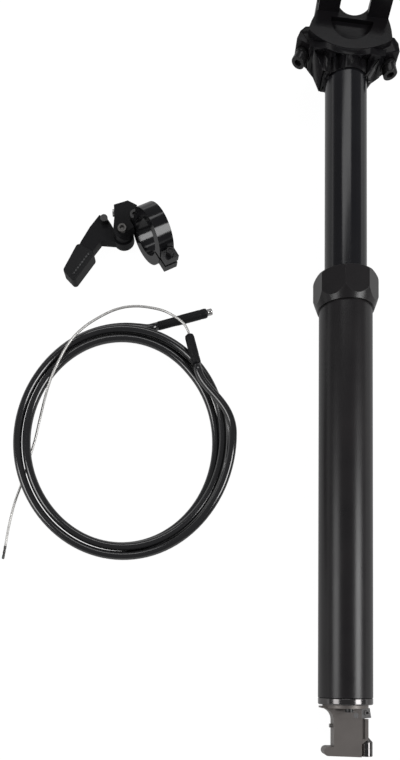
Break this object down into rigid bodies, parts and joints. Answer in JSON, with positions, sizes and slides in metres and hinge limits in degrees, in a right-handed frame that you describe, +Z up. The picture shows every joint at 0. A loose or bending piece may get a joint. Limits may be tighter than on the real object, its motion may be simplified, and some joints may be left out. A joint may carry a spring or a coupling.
{
  "type": "dropper seatpost",
  "caption": "Telescoping bicycle seatpost with a tilting saddle clamp, cable-pulled release at its foot, thumb remote and coiled cable with its housing.",
  "frame": {"origin": "on the post's axis at the collar's lower face, where the outer tube meets the bicycle's seat tube", "axes": "+Y along the post towards the saddle, within two degrees; +Z up from the table; +X across, the front of the bicycle"},
  "size_m": [0.2377, 0.4587, 0.0543],
  "materials": {
    "tube_black": "satin black anodised",
    "stanchion_black": "glossy black anodised",
    "head_black": "semi-gloss black",
    "foot_alloy": "dark anodised",
    "bracket_grey": "warm grey anodised",
    "steel": "polished",
    "rod_steel": "ground",
    "alloy": "machined",
    "bushing": "moulded nylon",
    "brass": "drawn",
    "rubber": "matte",
    "bolt_black": "black oxide",
    "lever_black": "satin black anodised",
    "clamp_black": "glossy black",
    "housing_black": "extruded",
    "wire_steel": "stranded",
    "tip_black": "crimped"
  },
  "bodies": {
    "lower_post": {"outer_tube": "tube_black", "collar_nut": "tube_black", "wiper_seal": "rubber", "collar_o_ring": "rubber", "upper_bushing": "bushing", "base_foot": "foot_alloy", "piston_rod": "rod_steel", "rod_piston": "alloy", "rod_lock_nut": "steel", "actuator_bracket": "bracket_grey", "housing_stop_sleeve": "steel", "bracket_screws": "steel", "bracket_grub_screw": "steel", "arm_pivot_pin": "steel", "arm_return_spring": "steel", "remote_bar_clamp": "clamp_black", "remote_clamp_bolt": "steel", "remote_perch": "clamp_black", "remote_perch_screw": "steel", "remote_cable_stop": "steel", "remote_pivot_bolt": "steel", "remote_pivot_nut": "steel", "remote_return_spring": "steel", "cable_housing": "housing_black", "housing_boot_long": "rubber", "housing_boot_short": "rubber", "cable_nipple": "steel", "inner_wire": "wire_steel", "wire_tip": "tip_black"},
    "upper_post": {"stanchion": "stanchion_black", "seat_head": "head_black", "gas_cylinder": "alloy", "cylinder_end_plug": "alloy", "cylinder_seal_head": "alloy", "top_out_bumper": "rubber", "floating_piston": "alloy", "centring_ring": "bushing", "lower_bushing": "bushing", "guide_keys": "brass", "top_fixing_bolt": "steel"},
    "saddle_clamp": {"lower_cradle": "head_black", "upper_clamp": "head_black"},
    "front_nut": {"front_barrel_nut": "steel"},
    "rear_nut": {"rear_barrel_nut": "steel"},
    "front_bolt": {"front_clamp_bolt": "bolt_black", "front_washer": "steel"},
    "rear_bolt": {"rear_clamp_bolt": "bolt_black", "rear_washer": "steel"},
    "actuator_arm": {"actuator_arm": "steel", "cable_barrel": "steel", "barrel_grub_screw": "bolt_black"},
    "release_pin": {"release_pin": "rod_steel"},
    "remote_lever": {"remote_lever_arm": "lever_black", "remote_thumb_pad": "rubber", "remote_cable_anchor": "steel"}
  },
  "joints": [
    {"name": "post_drop", "type": "slide", "parent": "lower_post", "child": "upper_post", "axis": [0, -0.9996, -0.0275], "range_m": [0, 0.105]},
    {"name": "saddle_tilt", "type": "hinge", "parent": "upper_post", "child": "saddle_clamp", "pos_m": [0.004, 0.19183, 0.00528], "axis": [0, 0.0275, -0.9996], "range_deg": [-6, 6]},
    {"name": "front_nut_turn", "type": "hinge", "parent": "saddle_clamp", "child": "front_nut", "pos_m": [0.01874, 0.18357, 0.00506], "axis": [0, 0.0275, -0.9996], "range_deg": [-8.5, 8.5]},
    {"name": "rear_nut_turn", "type": "hinge", "parent": "saddle_clamp", "child": "rear_nut", "pos_m": [-0.0123, 0.18738, 0.00516], "axis": [0, 0.0275, -0.9996], "range_deg": [-8.5, 8.5]},
    {"name": "front_bolt_screw", "type": "slide", "parent": "front_nut", "child": "front_bolt", "axis": [-0.225, 0.974, 0.0268], "range_m": [-0.00135, 0.00135]},
    {"name": "rear_bolt_screw", "type": "slide", "parent": "rear_nut", "child": "rear_bolt", "axis": [0.454, 0.8907, 0.0245], "range_m": [-0.00135, 0.00135]},
    {"name": "arm_turn", "type": "hinge", "parent": "lower_post", "child": "actuator_arm", "pos_m": [0.005, -0.23991, -0.00661], "axis": [0, 0.0275, -0.9996], "range_deg": [0, 15], "stiffness_Nm_per_rad": 0.1},
    {"name": "pin_lift", "type": "slide", "parent": "lower_post", "child": "release_pin", "axis": [0, 0.9996, 0.0275], "range_m": [0, 0.0018]},
    {"name": "lever_press", "type": "hinge", "parent": "lower_post", "child": "remote_lever", "pos_m": [-0.1352, 0.0546, -0.01624], "axis": [0, 0, 1], "range_deg": [0, 25], "stiffness_Nm_per_rad": 0.5}
  ],
  "couplings": [
    {"joint": "front_nut_turn", "follows": "saddle_tilt", "ratio": -1.378},
    {"joint": "rear_nut_turn", "follows": "saddle_tilt", "ratio": -1.378},
    {"joint": "front_bolt_screw", "follows": "saddle_tilt", "m_per_rad": 0.01247},
    {"joint": "rear_bolt_screw", "follows": "saddle_tilt", "m_per_rad": -0.01247},
    {"joint": "arm_turn", "follows": "pin_lift", "rad_per_m": 144.93}
  ]
}
